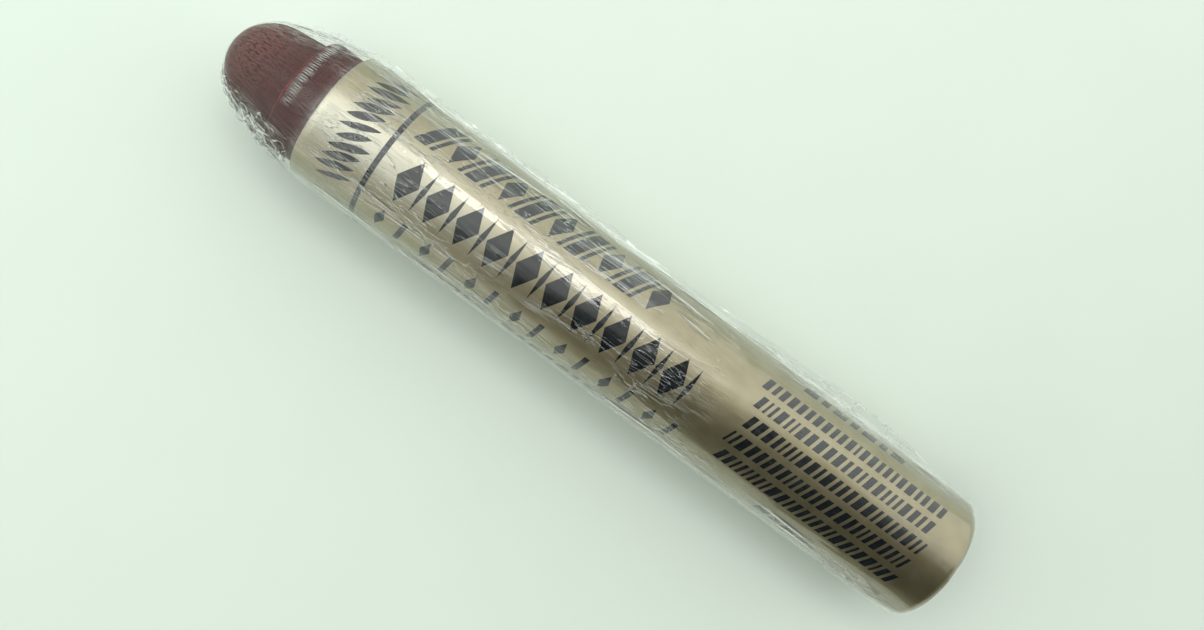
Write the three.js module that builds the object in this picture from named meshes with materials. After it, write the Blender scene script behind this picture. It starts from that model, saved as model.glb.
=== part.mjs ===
// A cast stick of artists' oil paint in a rolled card sleeve with a printed metallic label,
// sealed as sold in clear shrink film. It lies on its side. X runs from the paint's nose to
// the rear of the sleeve, Z is up, and the origin is on the surface that the wrapped stick
// lies on, below the middle of its length. All sizes are in millimetres, angles in degrees
// round the stick's axis from the top (0) over the +Y side (90).
import * as THREE from "three";

// The cast paint
const paintDiameter = 16.7;
const noseLength = 16.3; // paint that stands out of the sleeve's mouth
const domeLength = 6.9;
const domeDiameter = 13.0;
const domeEnd = 80; // degrees round the dome's ellipse at which the taper takes over
const taperDiameter = 14.0; // at the foot of the shoulder
const shoulderFoot = 10.5; // from the tip of the paint
const shoulderLength = 1.5;
const rearRecess = 2.5; // from the sleeve's rear rim to the paint
const dishDepth = 1.2; // the cast back sinks as it sets
const dishRim = 1.6;
const dishFullness = 0.55; // the share of the dish's radius over which its floor is nearly flat

// The dried skin that seals the nose
const skinThickness = 0.12;
const skinLine = 0.03; // between the paint and its skin
const skinStop = 0.3; // bare paint between the skin and the sleeve's mouth

// The sleeve, rolled from one sheet
const sleeveLength = 104;
const boreClearance = 0.06;
const plyThickness = 0.15;
const plyTurns = 6;
const sleeveLap = 150; // the angle at which the sheet starts inside and ends outside

// The label, one turn of metallised paper and a glued lap
const labelThickness = 0.12;
const glueLine = 0.025;
const labelInset = 0.15; // bare card at the mouth
const labelLap = 232; // the angle of the lap's free edge
const labelLapWidth = 6;
const labelLapRise = 0.8; // over which the upper layer climbs onto the lower

// The shrink film
const filmThickness = 0.12;
const filmGap = 0.08;
const seamAngle = 90;
const seamThickness = 0.3;
const seamHeight = 0.9;
const seamRearHeight = 1.9; // the trimmed seam is widest near the rear
const seamWidens = 0.6; // the share of the sleeve's length at which it starts to widen
const seamRunOut = 18; // over which it narrows again to the rear rim
const seamRimShare = 0.35; // the share of its height that is left at the rim
const seamWave = 0.25;
const seamWaveLength = 13;
const underSlack = 0.6; // loose film that the stick's weight presses flat
const underSlackSpread = 62;
const slackStart = 0.8; // the film under the stick comes loose from here, in nose lengths
const slackFull = 1.2;
const noseGathers = 12;
const gatherDepth = 0.28;
const gatherCentre = 0.55; // as shares of the nose's length
const gatherReach = 0.6;
const pocketDepth = 0.75; // loose pockets beside the nose
const pocketSpread = 70;
const seamPocketAngle = 82;
const lowPocketAngle = 262;

// How finely the round forms are faceted
const sides = 48;
const domeSteps = 7;
const shoulderSteps = 3;
const dishSteps = 3;
const filmStep = 9; // the longest stretch of film between two rings on the sleeve
const noseFilmStep = 2.25; // and on the nose
const lapStep = 0.5; // the angle in which a cut edge drops
const leastStep = 0.125; // the least angle between two facets' edges
const leastMitre = 0.5; // the sharpest corner that an offset outline keeps

// What follows from these
const paintRadius = paintDiameter / 2;
const paintTip = filmThickness + filmGap + skinThickness + skinLine;
const mouth = paintTip + noseLength;
const wrappedLength = mouth + sleeveLength;
const boreRadius = paintRadius + boreClearance;
const cardRadius = boreRadius + plyThickness * plyTurns;
const labelRadius = cardRadius + glueLine + labelThickness;
const labelLength = sleeveLength - labelInset;
const seamStart = domeLength / 3;

const mod360 = (angle) => THREE.MathUtils.euclideanModulo(angle, 360);
const rad = THREE.MathUtils.degToRad;

// The share of a turn since the sheet's edge, from 0 just past the edge to 1 at it.
const turnShare = (angle) => 1 - mod360(sleeveLap - angle) / 360;

// The rolled sheet's radius grows by one ply in a turn, inside and outside alike.
const boreAt = (angle) => boreRadius + plyThickness * turnShare(angle);
const cardAt = (angle) => cardRadius + plyThickness * turnShare(angle);
const labelInnerAt = (angle) => cardAt(angle) + glueLine;

const labelLapArc = THREE.MathUtils.radToDeg(labelLapWidth / labelRadius);
const labelRiseArc = THREE.MathUtils.radToDeg(labelLapRise / labelRadius);

// How far the label's upper layer lies over its lower one: 0 off the lap, 1 on it.
function lapShare(angle) {
  const back = mod360(labelLap - angle);
  return THREE.MathUtils.clamp((labelLapArc + labelRiseArc - back) / labelRiseArc, 0, 1);
}
const labelOuterAt = (angle) => labelInnerAt(angle) + labelThickness * (1 + lapShare(angle));

// Even angles all round, with the extra ones that a piece's cut edges need.
function anglesAround(...extra) {
  const even = Array.from({ length: sides }, (_, i) => (i * 360) / sides);
  const all = [...even, ...extra.map(mod360)].sort((a, b) => a - b);
  return all.filter((angle, i) => i === 0 || angle - all[i - 1] > leastStep);
}
const sleeveEdges = [sleeveLap, sleeveLap + lapStep];
const labelEdges = [
  labelLap,
  labelLap + lapStep,
  labelLap - labelLapArc,
  labelLap - labelLapArc - labelRiseArc,
];
const sheetAngles = anglesAround(...sleeveEdges, ...labelEdges);
const seamHalfArc = THREE.MathUtils.radToDeg(seamThickness / 2 / labelRadius);
const filmAngles = anglesAround(seamAngle - seamHalfArc, seamAngle, seamAngle + seamHalfArc);
const outerRadius = Math.max(...sheetAngles.map(labelOuterAt));
const axisHeight = outerRadius + filmGap + filmThickness;

// A wall between two outlines given by their radius at each angle, drawn out along X.
function rolledWall(innerAt, outerAt, length) {
  const point = (angle, r) => new THREE.Vector2(-r * Math.cos(rad(angle)), r * Math.sin(rad(angle)));
  const outline = (radiusAt) => sheetAngles.map((angle) => point(angle, radiusAt(angle))).reverse();
  const shape = new THREE.Shape(outline(outerAt));
  shape.holes.push(new THREE.Path(outline(innerAt)));
  const wall = new THREE.ExtrudeGeometry(shape, { depth: length, bevelEnabled: false });
  return wall.rotateY(Math.PI / 2);
}

// A solid of revolution about X from points (distance along X, radius).
function turned(points) {
  const profile = points.map((p) => new THREE.Vector2(p.y, p.x));
  return new THREE.LatheGeometry(profile, sides).rotateZ(-Math.PI / 2);
}

// The paint's nose from its tip to where the plain cylinder starts.
function nosePoints() {
  const a = domeLength;
  const b = domeDiameter / 2;
  const ellipse = new THREE.EllipseCurve(a, 0, a, b, Math.PI, rad(180 - domeEnd), true);
  const dome = ellipse.getPoints(domeSteps);
  dome[0].y = 0;
  const foot = taperDiameter / 2;
  const top = shoulderFoot + shoulderLength;
  const middle = new THREE.Vector2((shoulderFoot + top) / 2, (foot + paintRadius) / 2);
  const rise = new THREE.QuadraticBezierCurve(
    new THREE.Vector2(shoulderFoot, foot),
    new THREE.Vector2(middle.x, foot),
    middle,
  );
  const round = new THREE.QuadraticBezierCurve(
    middle,
    new THREE.Vector2(middle.x, paintRadius),
    new THREE.Vector2(top, paintRadius),
  );
  return [...dome, ...rise.getPoints(shoulderSteps), ...round.getPoints(shoulderSteps).slice(1)];
}

// The outline moved out by a distance, each corner along the line that halves it.
function offsetOutline(points, distance) {
  const normals = points.slice(1).map((p, i) => {
    const along = p.clone().sub(points[i]).normalize();
    return new THREE.Vector2(-along.y, along.x);
  });
  return points.map((p, i) => {
    const before = normals[Math.max(i - 1, 0)];
    const after = normals[Math.min(i, normals.length - 1)];
    const out = before.clone().add(after).normalize();
    if (p.y === 0) out.set(-1, 0);
    if (i === points.length - 1) out.set(0, 1);
    const mitre = p.y === 0 ? 1 : Math.max(out.dot(after), leastMitre);
    return p.clone().addScaledVector(out, distance / mitre);
  });
}

const nose = nosePoints();

function paintGeometry() {
  const rear = wrappedLength - rearRecess - paintTip;
  const dishRadius = paintRadius - dishRim;
  const dish = new THREE.QuadraticBezierCurve(
    new THREE.Vector2(rear, dishRadius),
    new THREE.Vector2(rear - dishDepth, dishRadius * dishFullness),
    new THREE.Vector2(rear - dishDepth, 0),
  );
  return turned([...nose, new THREE.Vector2(rear, paintRadius), ...dish.getPoints(dishSteps)]);
}

function skinOutline(distance) {
  const end = new THREE.Vector2(noseLength - skinStop, paintRadius);
  return offsetOutline([...nose, end], distance);
}

function skinGeometry() {
  const inner = skinOutline(skinLine);
  const outer = skinOutline(skinLine + skinThickness);
  return turned([...outer, ...inner.reverse()]);
}

// Taut film spans the hollows of what it covers, so its line is the convex outline of the
// skinned nose and the sleeve. Long stretches are divided so that the film can crease.
function tautLine() {
  const corners = [
    ...skinOutline(skinLine + skinThickness),
    new THREE.Vector2(noseLength, outerRadius),
    new THREE.Vector2(wrappedLength - paintTip, outerRadius),
  ];
  const line = [];
  for (const p of corners) {
    while (line.length > 1) {
      const a = line[line.length - 2];
      const b = line[line.length - 1];
      if ((b.x - a.x) * (p.y - a.y) - (b.y - a.y) * (p.x - a.x) < 0) break;
      line.pop();
    }
    line.push(p);
  }
  return line.flatMap((p, i) => {
    if (i === 0) return [p];
    const from = line[i - 1];
    const longest = p.x > noseLength ? filmStep : noseFilmStep;
    const parts = Math.ceil(from.distanceTo(p) / longest);
    return Array.from({ length: parts }, (_, k) => from.clone().lerp(p, (k + 1) / parts));
  });
}

// A smooth hump, 1 at the centre and 0 from the given half width on.
function hump(distance, halfWidth) {
  const t = Math.min(Math.abs(distance) / halfWidth, 1);
  return (1 - t * t) ** 2;
}
const angleBetween = (a, b) => Math.abs(mod360(a - b + 180) - 180);

// How far the film stands off its taut line at a place along X and an angle.
function looseness(x, angle) {
  const onNose = hump(x - noseLength * gatherCentre, noseLength * gatherReach);
  const onSleeve = THREE.MathUtils.smoothstep(x / noseLength, slackStart, slackFull);
  const gathers = gatherDepth * (0.5 - 0.5 * Math.cos(rad(noseGathers * angle)));
  const pockets = [seamPocketAngle, lowPocketAngle].map((centre) =>
    hump(angleBetween(angle, centre), pocketSpread / 2),
  );
  const under = hump(angleBetween(angle, 180), underSlackSpread / 2);
  return (
    onNose * (gathers + pocketDepth * Math.max(...pockets)) + onSleeve * underSlack * under
  );
}

// The height of the trimmed seam, which starts on the dome and widens towards the rear.
function seamAt(x) {
  const start = THREE.MathUtils.smoothstep(x, seamStart, domeLength);
  const rear = THREE.MathUtils.smoothstep(x / sleeveLength, seamWidens, 1);
  const end = 1 - THREE.MathUtils.smoothstep(x, wrappedLength - seamRunOut, wrappedLength);
  const share = THREE.MathUtils.lerp(seamRimShare, 1, end);
  return start * share * THREE.MathUtils.lerp(seamHeight, seamRearHeight, rear * end);
}

// The film as one closed solid: an outer and an inner skin of rings, joined at the open rear.
function filmGeometry() {
  const line = tautLine();
  const skins = [filmGap + filmThickness, filmGap].map((distance) => offsetOutline(line, distance));
  const round = filmAngles.length;
  const positions = [];
  skins.forEach((outline, layer) => {
    const lowest = layer * filmThickness - axisHeight;
    outline.forEach((p, i) => {
      const angles = i === 0 ? [0] : filmAngles;
      for (const angle of angles) {
        const seam = layer === 0 && i > 0 && angle === seamAngle ? seamAt(p.x) : 0;
        const r = i === 0 ? 0 : p.y + looseness(line[i].x, angle) + seam;
        const wave = seam && seamWave * Math.sin((2 * Math.PI * p.x) / seamWaveLength);
        const y = r * Math.sin(rad(angle));
        const z = r * Math.cos(rad(angle)) + wave;
        positions.push(p.x, y, Math.max(z, lowest));
      }
    });
  });
  const skinSize = 1 + (line.length - 1) * round;
  const at = (layer, ring, side) =>
    layer * skinSize + (ring === 0 ? 0 : 1 + (ring - 1) * round + (side % round));
  const faces = [];
  const quad = (a, b, c, d) => faces.push(a, b, c, a, c, d);
  const last = line.length - 1;
  for (let side = 0; side < round; side++) {
    const next = side + 1;
    faces.push(at(0, 0, 0), at(0, 1, side), at(0, 1, next));
    faces.push(at(1, 0, 0), at(1, 1, next), at(1, 1, side));
    for (let ring = 1; ring < last; ring++) {
      const after = ring + 1;
      quad(at(0, ring, side), at(0, after, side), at(0, after, next), at(0, ring, next));
      quad(at(1, ring, side), at(1, ring, next), at(1, after, next), at(1, after, side));
    }
    quad(at(0, last, side), at(1, last, side), at(1, last, next), at(0, last, next));
  }
  const film = new THREE.BufferGeometry();
  film.setAttribute("position", new THREE.Float32BufferAttribute(positions, 3));
  film.setIndex(faces);
  film.computeVertexNormals();
  return film;
}

function piece(name, geometry, x, look) {
  const mesh = new THREE.Mesh(geometry, new THREE.MeshStandardMaterial(look));
  mesh.name = name;
  mesh.position.x = x;
  return mesh;
}

const stick = new THREE.Group();
stick.position.set(-wrappedLength / 2, 0, axisHeight);
stick.add(
  piece("paint_stick", paintGeometry(), paintTip, {
    color: "#6e1f24",
    roughness: 0.55,
    metalness: 0,
  }),
  piece("dried_skin", skinGeometry(), paintTip, {
    color: "#5f2a2c",
    roughness: 0.7,
    metalness: 0,
  }),
  piece("card_sleeve", rolledWall(boreAt, cardAt, sleeveLength), mouth, {
    color: "#d9d2c3",
    roughness: 0.9,
    metalness: 0,
  }),
  piece("foil_label", rolledWall(labelInnerAt, labelOuterAt, labelLength), mouth + labelInset, {
    color: "#b9a98a",
    roughness: 0.35,
    metalness: 0.7,
  }),
  piece("shrink_film", filmGeometry(), paintTip, {
    color: "#f2f6f3",
    roughness: 0.12,
    metalness: 0,
    transparent: true,
    opacity: 0.25,
  }),
);

const part = new THREE.Group();
part.add(stick);

export default part;
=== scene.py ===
import math

import bpy
import numpy as np
from mathutils import Matrix, Vector


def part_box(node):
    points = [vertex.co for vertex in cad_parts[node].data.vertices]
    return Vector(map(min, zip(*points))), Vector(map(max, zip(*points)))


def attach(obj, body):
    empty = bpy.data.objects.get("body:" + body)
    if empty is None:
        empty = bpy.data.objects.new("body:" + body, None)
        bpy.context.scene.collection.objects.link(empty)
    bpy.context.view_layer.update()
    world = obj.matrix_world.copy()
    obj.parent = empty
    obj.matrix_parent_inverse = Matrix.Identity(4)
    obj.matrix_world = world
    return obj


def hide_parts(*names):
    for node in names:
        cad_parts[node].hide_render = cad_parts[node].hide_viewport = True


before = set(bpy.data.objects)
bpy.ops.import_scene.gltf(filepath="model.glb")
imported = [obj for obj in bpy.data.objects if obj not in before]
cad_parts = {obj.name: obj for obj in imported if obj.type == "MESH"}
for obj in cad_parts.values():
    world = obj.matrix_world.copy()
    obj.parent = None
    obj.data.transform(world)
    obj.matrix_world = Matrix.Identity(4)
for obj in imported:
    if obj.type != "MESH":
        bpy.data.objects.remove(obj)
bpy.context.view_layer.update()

MM = 0.001  # one millimetre in the frame's metres


def spans(node):
    """The lowest and highest corner of a CAD node, in millimetres."""
    low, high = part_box(node)
    return np.array(low) / MM, np.array(high) / MM


# Sizes read from the frame
sleeve_low, sleeve_high = spans("card_sleeve")
paint_low, paint_high = spans("paint_stick")
label_low, label_high = spans("foil_label")
MOUTH = sleeve_low[0]
REAR = sleeve_high[0]
TIP = spans("shrink_film")[0][0]
PAINT_TIP = paint_low[0]
PAINT_REAR = paint_high[0]
PAINT_RADIUS = (paint_high[1] - paint_low[1]) / 2
AXIS_Z = (paint_high[2] + paint_low[2]) / 2
LABEL_TOP = label_high[2] - AXIS_Z  # the label's radius on the top of the stick
LABEL_FRONT = label_low[0]

# The cast paint's nose and back, as in the CAD source
DOME_LENGTH = 6.9
DOME_RADIUS = 6.5
DOME_END = 80  # degrees round the dome's ellipse at which the taper takes over
TAPER_RADIUS = 7.0
SHOULDER_FOOT = 10.5
SHOULDER_LENGTH = 1.5
DISH_DEPTH = 1.2
DISH_RIM = 1.6

# The skin, the card, the label and the film
SKIN = 0.12  # its thickness
SKIN_LINE = 0.03  # the gap between skin and paint
SKIN_STOP = 0.3  # from the skin's hem to the sleeve's mouth
PLY = 0.15
PLY_TURNS = 6
BORE_CLEARANCE = 0.06
SLEEVE_LAP = 150  # the angle of the rolled card's outer edge
LABEL = 0.12  # its thickness
GLUE = 0.025
LABEL_LAP = 232  # the angle of the label's outer edge
LABEL_LAP_WIDTH = 6.0
LABEL_LAP_RISE = 0.8
FILM = 0.06  # its thickness
FILM_GAP = 0.1  # the gap between the film and the taut profile

BORE = PAINT_RADIUS + BORE_CLEARANCE
CARD = BORE + PLY * PLY_TURNS
LABEL_RADIUS = CARD + GLUE + LABEL


# Shapes as functions of two parameters

def hump(distance, half_width):
    """(1 - t^2)^2 for t = |distance| / half width, so 1 at the centre and 0 from the half width on."""
    t = np.minimum(np.abs(distance) / half_width, 1)
    return (1 - t * t) ** 2


def ease(x, low, high):
    """3t^2 - 2t^3 as x goes from low to high: a smooth step from 0 to 1."""
    t = np.clip((x - low) / (high - low), 0, 1)
    return t * t * (3 - 2 * t)


def apart(a, b):
    """The angle between two directions, in degrees, from 0 to 180."""
    return np.abs((a - b + 180) % 360 - 180)


def around(angle, middle, reach):
    """A hump round a middle angle that ends at a reach in degrees to either side."""
    return hump(apart(angle, middle), reach)


def within(angle, middle, inner, outer):
    """1 up to an inner distance in degrees from a middle angle, falling to 0 at an outer one."""
    return ease(-apart(angle, middle), -outer, -inner)


def spun(x, radius, angle):
    """Points at a distance x along the stick and a radius at an angle round its axis."""
    turn = np.radians(angle)
    x, y, z = np.broadcast_arrays(x, radius * np.sin(turn), AXIS_Z + radius * np.cos(turn))
    return np.stack([x, y, z], axis=-1)


def ripples(along, angle, seed, count, shortest, longest, radius=9.5):
    """A smooth random field from -1 to 1 that closes on itself round the stick: sine waves of
    random direction and phase in space, with wavelengths between the shortest and the longest,
    taken at the points of a cylinder, added up and scaled."""
    draw = np.random.default_rng(seed)
    across, up = radius * np.sin(np.radians(angle)), radius * np.cos(np.radians(angle))
    total = 0
    for _ in range(count):
        way = draw.normal(size=3)
        way /= np.linalg.norm(way)
        length = np.exp(draw.uniform(np.log(shortest), np.log(longest)))
        place = along * way[0] + across * way[1] + up * way[2]
        total = total + np.sin(2 * np.pi * place / length + draw.uniform(0, 2 * np.pi))
    return total / np.sqrt(count) / 1.6


def skinned(name, points, flat, tip=False, tail=False, closed=False, **amounts):
    """A mesh object from a grid of points, rows along the stick and columns round it. Each cell is
    one face, and the last column joins the first. flat holds each grid point's place on the
    unrolled surface, with one column more than points for the join, and becomes the UV map.
    tip and tail: the first or last row is one point. closed: the last row joins the first.
    amounts are named values, one for each grid point, kept as attributes."""
    rows, columns = points.shape[:2]
    kept = np.ones((rows, columns), bool)
    kept[0, 1:] = not tip
    kept[-1, 1:] = not tail
    number = (np.cumsum(kept) - 1).reshape(rows, columns)
    r, c = np.meshgrid(np.arange(rows if closed else rows - 1), np.arange(columns), indexing="ij")
    corners_r = np.stack([r, r + 1, r + 1, r], axis=-1).reshape(-1, 4)
    corners_c = np.stack([c, c, c + 1, c + 1], axis=-1).reshape(-1, 4)
    index = number[corners_r % rows, corners_c % columns]
    used = np.ones(index.shape, bool)
    used[:columns, 3] = not tip
    used[-columns:, 2] = not tail
    amounts = {key: value[kept] for key, value in amounts.items()}
    places = flat[corners_r, corners_c][used]
    return solid(name, points[kept], index[used], used.sum(axis=1), places, **amounts)


def placed(name, data):
    """A new object in the scene, of a mesh, a lamp or a camera."""
    made = bpy.data.objects.new(name, data)
    bpy.context.scene.collection.objects.link(made)
    return made


def solid(name, points, corners, sizes, places=None, **amounts):
    """A smooth-shaded mesh object from points in millimetres, the corner numbers of all faces in
    one row, and each face's number of corners."""
    mesh = bpy.data.meshes.new(name)
    mesh.vertices.add(len(points))
    mesh.vertices.foreach_set("co", (points * MM).astype(np.float32).ravel())
    mesh.loops.add(len(corners))
    mesh.loops.foreach_set("vertex_index", corners.astype(np.int32))
    mesh.polygons.add(len(sizes))
    starts = np.concatenate([[0], np.cumsum(sizes)[:-1]])
    mesh.polygons.foreach_set("loop_start", starts.astype(np.int32))
    if places is not None:
        unrolled = mesh.uv_layers.new(name="unrolled")
        unrolled.data.foreach_set("uv", places.astype(np.float32).ravel())
    for key, value in amounts.items():
        field = mesh.attributes.new(key, "FLOAT", "POINT")
        field.data.foreach_set("value", value.astype(np.float32).ravel())
    mesh.update(calc_edges=True)
    mesh.validate()
    mesh.shade_smooth()
    return placed(name, mesh)


def folded(outer, inner):
    """The rows of an outer side followed by those of its inner side in return."""
    return np.concatenate([outer, inner[::-1]])


def unrolled(along, angles, radius=LABEL_RADIUS):
    """Each grid point's place on the unrolled surface, in millimetres: the distance along the
    stick and the arc round it, with a last column a full turn on from the first."""
    arc = np.radians(np.append(angles, angles[0] + 360)) * radius
    return np.stack(np.meshgrid(along, arc, indexing="ij"), axis=-1)


def grown(angle):
    """The share of a turn since the rolled card's edge, from 0 just past it to 1 at it."""
    return 1 - ((SLEEVE_LAP - angle) % 360) / 360


def label_face(x, angle):
    """The label's outer radius: the rolled card's, which grows by a ply in a turn, then glue,
    one layer of paper, and a second where the label laps over itself. The face dips and swells
    by a few hundredths, where the paste under it is uneven, and less towards its ends."""
    back = (LABEL_LAP - angle) % 360
    lap = np.degrees(LABEL_LAP_WIDTH / LABEL_RADIUS)
    rise = np.degrees(LABEL_LAP_RISE / LABEL_RADIUS)
    lapped = np.clip((lap + rise - back) / rise, 0, 1)
    held = ease(x, LABEL_FRONT, LABEL_FRONT + 3) * ease(-x, -REAR, -REAR + 2)
    wave = 0.02 * held * ripples(x * 0.6, angle, 3, 18, 3.5, 16)
    return CARD + PLY * grown(angle) + GLUE + LABEL * (1 + lapped) + wave


def outward(x, r):
    """Unit normals of a profile (x, r) that runs from the tip to the rear, pointing away from
    the axis."""
    dx, dr = np.gradient(x), np.gradient(r)
    size = np.hypot(dx, dr)
    return -dr / size, dx / size


def nose_profile():
    """The paint's nose as distances from its tip and radii: a quarter ellipse to DOME_END, a
    straight taper, and a shoulder of two parabolas."""
    turn = np.radians(np.linspace(0, DOME_END, 40))
    dome_x, dome_r = DOME_LENGTH * (1 - np.cos(turn)), DOME_RADIUS * np.sin(turn)
    taper = np.linspace(0, 1, 14)[1:]
    taper_x = dome_x[-1] + (SHOULDER_FOOT - dome_x[-1]) * taper
    taper_r = dome_r[-1] + (TAPER_RADIUS - dome_r[-1]) * taper
    t = np.linspace(0, 1, 8)[1:]
    half, rise = SHOULDER_LENGTH / 2, (PAINT_RADIUS - TAPER_RADIUS) / 2
    foot_x, foot_r = SHOULDER_FOOT + half * t * (2 - t), TAPER_RADIUS + rise * t * t
    top_x, top_r = SHOULDER_FOOT + half * (1 + t * t), TAPER_RADIUS + rise * (1 + t * (2 - t))
    x = np.concatenate([dome_x, taper_x, foot_x, top_x])
    return x, np.concatenate([dome_r, taper_r, foot_r, top_r])


NOSE_X, NOSE_R = nose_profile()
LIP = 0.25  # the radius of the round edge at the paint's back
CAST_WAVE = 0.02


def cast_paint():
    """The cast stick: the nose profile, the plain cylinder and the sunken back, spun round the
    axis, with the slight waves of a cast surface."""
    length = PAINT_REAR - PAINT_TIP
    body = np.linspace(NOSE_X[-1] + 0.5, length - LIP, 60)
    edge = np.radians(np.linspace(15, 90, 6))
    lip_x, lip_r = length - LIP + LIP * np.sin(edge), PAINT_RADIUS - LIP * (1 - np.cos(edge))
    t = np.linspace(0, 1, 16)[1:]
    rim = PAINT_RADIUS - DISH_RIM
    dish_x, dish_r = length - DISH_DEPTH * (1 - (1 - t) ** 2), rim * (1 - t)
    x = np.concatenate([NOSE_X, body, lip_x, [length], dish_x])
    r = np.concatenate([NOSE_R, np.full(body.size, PAINT_RADIUS), lip_r, [rim], dish_r])
    angles = np.arange(0, 360, 2.5)
    grid_x = x[:, None]
    wave = CAST_WAVE * ripples(grid_x, angles[None, :], 5, 12, 3, 14)
    held = ease(r, 0.5, 3)[:, None] * ease(length - x, 0, 6)[:, None]
    points = spun(PAINT_TIP + grid_x, r[:, None] + wave * held, angles[None, :])
    made = skinned("cast_paint", points, unrolled(x, angles, PAINT_RADIUS), tip=True, tail=True)
    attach(made, "paint")
    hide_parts("paint_stick")
    return made


FOLD_DEPTH = 0.1
PIT_DEPTH = 0.018
HEM = 0.5  # over this length the skin thins to its edge
HEM_THINNER = 0.05
BARE_LINE = SHOULDER_FOOT + 0.9  # where the redder line runs round the shoulder
BARE_HALF_WIDTH = 0.22


def skin_profile():
    """The nose profile up to the skin's hem."""
    hem = MOUTH - PAINT_TIP - SKIN_STOP
    more = np.linspace(NOSE_X[-1], hem, 16)[1:]
    return np.append(NOSE_X, more), np.append(NOSE_R, np.full(more.size, PAINT_RADIUS))


def dried_skin():
    """The skin on the nose: the nose profile moved out by the skin's thickness, with fine folds
    that run along the stick and are deepest high on the dome, closed by its inner side.
    shrivel is 1 where the folds are deepest, and bare is 1 on the redder line."""
    x, r = skin_profile()
    out_x, out_r = outward(x, r)
    out_x[0], out_r[0] = -1, 0
    angles = np.arange(0, 360, 0.72)
    grid_x, grid_a = x[:, None], angles[None, :]
    shrivel = hump(grid_x - 4.2, 6.5) * (0.3 + 0.7 * around(grid_a, 25, 85)) * ease(grid_x, 0.3, 1.5)
    folds = np.abs(ripples(grid_x * 0.22, grid_a, 8, 26, 0.6, 1.6, 7))
    pits = ripples(grid_x, grid_a, 9, 30, 0.9, 2.5, 8)
    lift = FOLD_DEPTH * shrivel * (folds - 0.4) + PIT_DEPTH * pits * ease(grid_x, 0.5, 2)
    lift = np.clip(lift, -0.07, FOLD_DEPTH)
    hem = ease(x, x[-1] - HEM, x[-1])[:, None]
    sides = []
    for distance, wrinkled in ((SKIN_LINE + SKIN, 1), (SKIN_LINE, 0)):
        off = distance + lift * wrinkled * (1 - hem) - HEM_THINNER * wrinkled * hem
        ring_x, ring_r = PAINT_TIP + grid_x + out_x[:, None] * off, r[:, None] + out_r[:, None] * off
        sides.append(spun(ring_x, ring_r, grid_a))
    line = BARE_LINE + 0.16 * ripples(0, grid_a, 10, 10, 3, 9)
    broken = 0.55 + 0.5 * ripples(0, grid_a, 11, 12, 1.5, 6, 8)
    bare = hump(grid_x - line, BARE_HALF_WIDTH) * within(grid_a, 4, 22, 36) * broken.clip(0, 1)
    made = skinned(
        "dried_skin_wrinkled", folded(*sides), unrolled(folded(x, x), angles), tip=True, tail=True,
        bare=folded(bare, bare), shrivel=folded(shrivel, shrivel),
    )
    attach(made, "paint")
    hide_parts("dried_skin")
    return made


PLY_RIDGE = 0.05  # how far a ply stands out of the cut end
CORNER = math.radians(50)  # sheets shade as creased where they turn by more


def card_tube():
    """The sleeve: bore and outside follow the roll, whose radius grows by one ply in a turn, and
    the cut ends show the plies as fine ridges that spiral round, with glue between them."""
    angles = np.arange(0, 360, 1.5)
    cross = np.linspace(0, 1, PLY_TURNS * 6 + 1)
    along = np.linspace(0, 1, 40)
    roll = grown(angles)[None, :]
    ridge = PLY_RIDGE * np.abs(np.sin(np.pi * (cross[:, None] * PLY_TURNS)))
    end_r = BORE + PLY * (cross[:, None] * PLY_TURNS + roll)
    outside = spun((MOUTH + (REAR - MOUTH) * along)[:, None], CARD + PLY * roll, angles[None, :])
    rear = spun(REAR - PLY_RIDGE + ridge[::-1], end_r[::-1], angles[None, :])
    bore = spun((REAR + (MOUTH - REAR) * along)[:, None], BORE + PLY * roll, angles[None, :])
    front = spun(MOUTH + PLY_RIDGE - ridge, end_r, angles[None, :])
    points = np.concatenate([outside[1:-1], rear, bore[1:-1], front])
    run = np.arange(len(points) + 1) * 0.5
    plain = np.zeros(along.size - 2)
    paste = np.abs(np.cos(np.pi * cross * PLY_TURNS)) ** 6
    glue = np.concatenate([plain, paste, plain, paste])[:, None] * np.ones(angles.size)
    made = skinned("rolled_card_tube", points, unrolled(run, angles), closed=True, glue=glue)
    made.data.set_sharp_from_angle(angle=CORNER)
    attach(made, "sleeve")
    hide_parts("card_sleeve")
    return made


LABEL_EDGE = 0.04  # from the label's cut edge to its first full ring
LABEL_EDGE_DROP = 0.03


def at_lap(spacing):
    """Angles round the label, evenly spaced, with one more on each side of its lap's edge."""
    return np.sort(np.append(np.arange(0, 360, spacing), [LABEL_LAP + 0.1, LABEL_LAP - 0.1]))


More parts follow.
